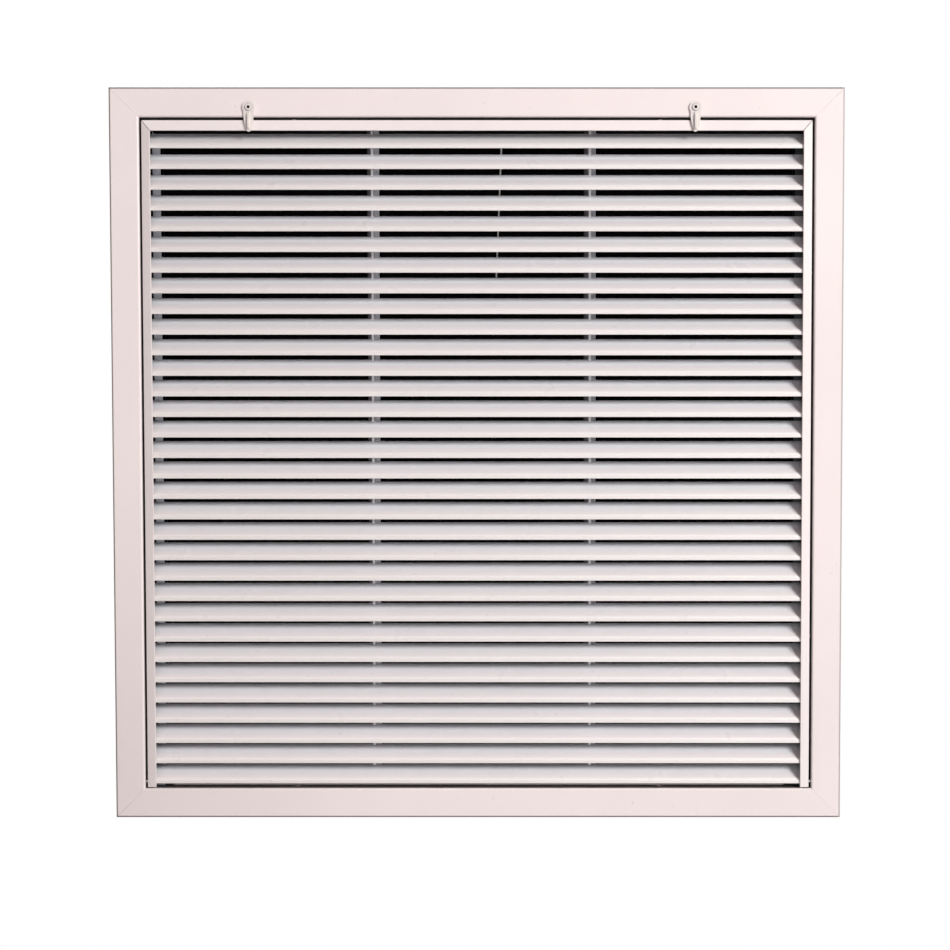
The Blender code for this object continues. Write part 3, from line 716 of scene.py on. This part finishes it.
def makeRivet(side, pivot, paint):
    shank = startFromNode("clip_rivet_" + side, "rivetShank")
    roundEdges(shank, rivetShape["edgeRound"])
    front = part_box("clip_rivet_" + side)[0].y + rivetShape["proud"]
    ring = start("circle", "rivet_" + side, (pivot.x + rivetShape["ringRadius"], front, pivot.z),
                 (1, rivetShape["rollFlat"], 1), vertices=rivetShape["rollSides"], radius=rivetShape["rollRadius"])
    bpy.ops.object.mode_set(mode="EDIT")
    bpy.ops.mesh.select_all(action="SELECT")
    bpy.ops.mesh.spin(steps=rivetShape["ringSteps"], angle=math.tau, center=(pivot.x, 0, pivot.z), axis=(0, 1, 0))
    bpy.ops.mesh.select_all(action="SELECT")
    bpy.ops.mesh.remove_doubles(threshold=0.00001)
    bpy.ops.mesh.normals_make_consistent(inside=False)
    bpy.ops.object.mode_set(mode="OBJECT")
    bpy.ops.object.shade_smooth()
    takeUp(ring)
    shank.select_set(True)
    bpy.ops.object.join()
    settle(ring, "frame", "rivet_metal", paint, "clip_rivet_" + side)


# The filter: media folded into rounded pleats, a channel round it, leaf clips and the pull wire
mediaShape = {"folds": 48, "foldRound": 0.0016, "sheet": 0.0020, "backingRoom": 0.0028}


def makeMedia(paint):
    low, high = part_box("filter_media")
    folds = mediaShape["folds"]
    depth = high.y - low.y - mediaShape["sheet"] - mediaShape["backingRoom"]
    middle = (low + high) / 2
    media = start("grid", "pleatedMedia", (middle.x, low.y + depth, middle.z),
                  (high.x - low.x, high.z - low.z, 1), (math.pi / 2, 0, 0),
                  x_subdivisions=folds, y_subdivisions=1, size=1)
    step = (high.x - low.x) / folds
    bpy.ops.object.mode_set(mode="EDIT")
    pick(media, lambda co: round((co.x - low.x) / step) % 2 == 1)
    bpy.ops.transform.translate(value=(0, -depth, 0))
    bpy.ops.object.mode_set(mode="OBJECT")
    roundEdges(media, mediaShape["foldRound"], 3, 30)
    applyModifier(media, "SOLIDIFY", thickness=mediaShape["sheet"], offset=-1)
    smooth(media)
    settle(media, "frame", "filter_media_weave", paint, "filter_media")


# A welded wire grid against the pleats' rear folds, held by the channel's lip
backingShape = {"wire": 0.0006, "cells": 14, "sides": 6, "inset": 0.0002, "lip": 0.001, "endRoom": 0.002}


def makeBacking(paint):
    low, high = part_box("filter_media")
    radius = backingShape["wire"]
    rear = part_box("filter_frame")[1].y - backingShape["lip"] - radius - backingShape["inset"]
    middle = (low + high) / 2
    step = (high.x - low.x) / backingShape["cells"]
    rods = []
    for upright in (True, False):
        length = (high.z - low.z if upright else high.x - low.x) - backingShape["endRoom"]
        turn = (0, 0, 0) if upright else (0, math.pi / 2, 0)
        depth = rear if upright else rear - 2 * radius
        rod = start("cylinder", "backingRod", (middle.x, depth, middle.z), (1, 1, 1), turn,
                    vertices=backingShape["sides"], radius=radius, depth=length)
        for count in range(1, backingShape["cells"]):
            shift = (count - backingShape["cells"] / 2) * step
            rods.append(copyTo(rod, "backingRod", (shift, 0, 0) if upright else (0, 0, shift)))
        bpy.data.objects.remove(rod)
    takeUp(rods[0])
    for rod in rods:
        rod.select_set(True)
    bpy.ops.object.join()
    backing = bpy.context.object
    backing.name = backing.data.name = "backingGrid"
    backing.data.materials.clear()
    backing.data.materials.append(paint)
    smooth(backing, 70)
    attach(backing, "frame")


# The filter's channel, its leaf clips and the pull wire
hardwareShape = {"channelRound": 0.0003, "leafRound": 0.0003, "wireFatten": 0.0002, "wireRound": 0.0002}


def makeFilterHardware():
    channel = startFromNode("filter_frame", "filterChannel")
    roundEdges(channel, hardwareShape["channelRound"])
    settle(channel, "frame", "filter_channel_metal", metalPaint("channel", True), "filter_frame")
    spring = metalPaint("spring")
    for place in ("upper_left", "lower_left", "upper_right", "lower_right"):
        leaf = startFromNode("filter_clip_" + place, "leafClip_" + place)
        roundEdges(leaf, hardwareShape["leafRound"], 3)
        settle(leaf, "frame", "filter_clip_metal", spring, "filter_clip_" + place)
    wire = startFromNode("filter_pull_wire", "pullWire")
    bpy.ops.object.mode_set(mode="EDIT")
    bpy.ops.mesh.select_all(action="SELECT")
    bpy.ops.transform.shrink_fatten(value=hardwareShape["wireFatten"])
    bpy.ops.object.mode_set(mode="OBJECT")
    roundEdges(wire, hardwareShape["wireRound"], 2, 60)
    settle(wire, "frame", "pull_wire_metal", metalPaint("wire"), "filter_pull_wire")


# Nodes that keep the solid's own mesh
def dress(names, material):
    for name in names:
        node = frame["nodes"][name]
        node.data.materials.clear()
        node.data.materials.append(material)


makeFrame(frameCoat())
print("frame members are made")
barMiddles = [sum(corner.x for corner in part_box("support_bar_" + side)) / 2 for side in ("left", "right")]
makeRails(railCoat(), supportCoat(barMiddles))
makeBlades(bladeCoat())
print("core is made")
makeClips(clipCoat([clipPivot("left"), clipPivot("right")]))
print("clips are made")
makeMedia(clothPaint())
makeBacking(metalPaint("backing"))
makeFilterHardware()
dress([name for name in bodies["frame"] if name.startswith("corner_key")], metalPaint("key"))
dress(["hinge_pin_left", "hinge_pin_right"], metalPaint("pin"))
print("filter and fixings are made")


# A plain pale floor under the panel, below what the camera of the photograph sees
floorShape = {
    "drop": 0.40, "front": -2.2, "rear": 0.5, "half": 1.7,
    "colour": (0.60, 0.60, 0.60), "cloudSize": 3.0, "cloudTone": 0.98, "roughness": 0.9,
    "glow": (0.90, 0.90, 0.90), "glowShare": 0.7,
}


def makeFloor():
    middle = (floorShape["rear"] + floorShape["front"]) / 2
    depth = floorShape["rear"] - floorShape["front"]
    ground = start("plane", "studioFloor", (0, middle, cadLow.z - floorShape["drop"]),
                   (2 * floorShape["half"], depth, 1), size=1)
    made = Paint("floorPaint", floorShape["roughness"])
    cloudy = darker(floorShape["colour"], floorShape["cloudTone"])
    made.feed("Base Color", made.blend(made.noise(floorShape["cloudSize"], 2.0), floorShape["colour"], cloudy))
    ground.data.materials.append(made.material)
    white = made.tree.nodes.new("ShaderNodeEmission")
    white.inputs["Color"].default_value = (*floorShape["glow"], 1)
    seen = made.node("ShaderNodeLightPath", output="Is Camera Ray")
    for kind in ("Is Glossy Ray", "Is Transmission Ray"):
        seen = seen.larger(made.node("ShaderNodeLightPath", output=kind))
    mixed = made.node("ShaderNodeMixShader", None, {0: seen * floorShape["glowShare"]})
    mixer = mixed.socket.node
    made.tree.links.new(made.shader.outputs[0], mixer.inputs[1])
    made.tree.links.new(white.outputs[0], mixer.inputs[2])
    made.tree.links.new(mixer.outputs[0], made.tree.nodes["Material Output"].inputs["Surface"])


# The camera of the photograph: a little right of the middle, tipped down, with the view slid back to the panel
cameraSetup = {
    "side": 0.075, "rise": 0.022, "distance": 1.330, "pitch": 2.11,
    "lens": 55.89, "slideX": -0.0904, "slideY": 0.01095,
}


def makeCamera():
    data = bpy.data.cameras.new("photoCamera")
    data.lens = cameraSetup["lens"]
    data.sensor_width = 36
    data.shift_x = cameraSetup["slideX"]
    data.shift_y = cameraSetup["slideY"]
    camera = bpy.data.objects.new("photoCamera", data)
    bpy.context.scene.collection.objects.link(camera)
    camera.location = (cameraSetup["side"], -cameraSetup["distance"], centreZ + cameraSetup["rise"])
    camera.rotation_euler = (math.radians(90 - cameraSetup["pitch"]), 0, 0)
    bpy.context.scene.camera = camera


# A large soft lamp high on the right, a weak warm one in front, one for the rear, and a little light from everywhere
lamps = {
    "key": {"place": (2.5, -2.6, 1.5), "size": 1.3, "power": 156.0, "colour": (1.0, 1.0, 0.98)},
    "fill": {"place": (-0.8, -2.0, 0.5), "size": 2.0, "power": 9.0, "colour": (1.0, 0.86, 0.85)},
    "rear": {"place": (-1.7, 3.0, 1.8), "size": 1.8, "power": 95.0, "colour": (1.0, 1.0, 1.0)},
    "sky": 0.06,
    "skyColour": (0.72, 0.88, 1.0, 1.0),
}


def makeLamp(name):
    setup = lamps[name]
    data = bpy.data.lights.new(name, "AREA")
    data.energy = setup["power"]
    data.size = setup["size"]
    data.color = setup["colour"]
    lamp = bpy.data.objects.new(name, data)
    bpy.context.scene.collection.objects.link(lamp)
    lamp.location = Vector(setup["place"]) + Vector((0, 0, centreZ))
    aim = Vector((0, 0, centreZ)) - lamp.location
    lamp.rotation_euler = aim.to_track_quat("-Z", "Y").to_euler()


def makeWorld():
    world = bpy.data.worlds.new("studio")
    bpy.context.scene.world = world
    world.use_nodes = True
    tree = world.node_tree
    back = tree.nodes["Background"]
    back.inputs["Color"].default_value = lamps["skyColour"]
    back.inputs["Strength"].default_value = lamps["sky"]
    seen = tree.nodes.new("ShaderNodeBackground")
    seen.inputs["Color"].default_value = (1, 1, 1, 1)
    seen.inputs["Strength"].default_value = 1.0
    path = tree.nodes.new("ShaderNodeLightPath")
    seenBy = path.outputs["Is Camera Ray"]
    for kind in ("Is Glossy Ray", "Is Transmission Ray"):
        either = tree.nodes.new("ShaderNodeMath")
        either.operation = "MAXIMUM"
        tree.links.new(seenBy, either.inputs[0])
        tree.links.new(path.outputs[kind], either.inputs[1])
        seenBy = either.outputs[0]
    mix = tree.nodes.new("ShaderNodeMixShader")
    tree.links.new(seenBy, mix.inputs[0])
    tree.links.new(back.outputs[0], mix.inputs[1])
    tree.links.new(seen.outputs[0], mix.inputs[2])
    tree.links.new(mix.outputs[0], tree.nodes["World Output"].inputs["Surface"])


makeFloor()
makeCamera()
makeLamp("key")
makeLamp("fill")
makeLamp("rear")
makeWorld()
bpy.context.scene.view_settings.view_transform = "Standard"
print("floor, camera and lights are in place")
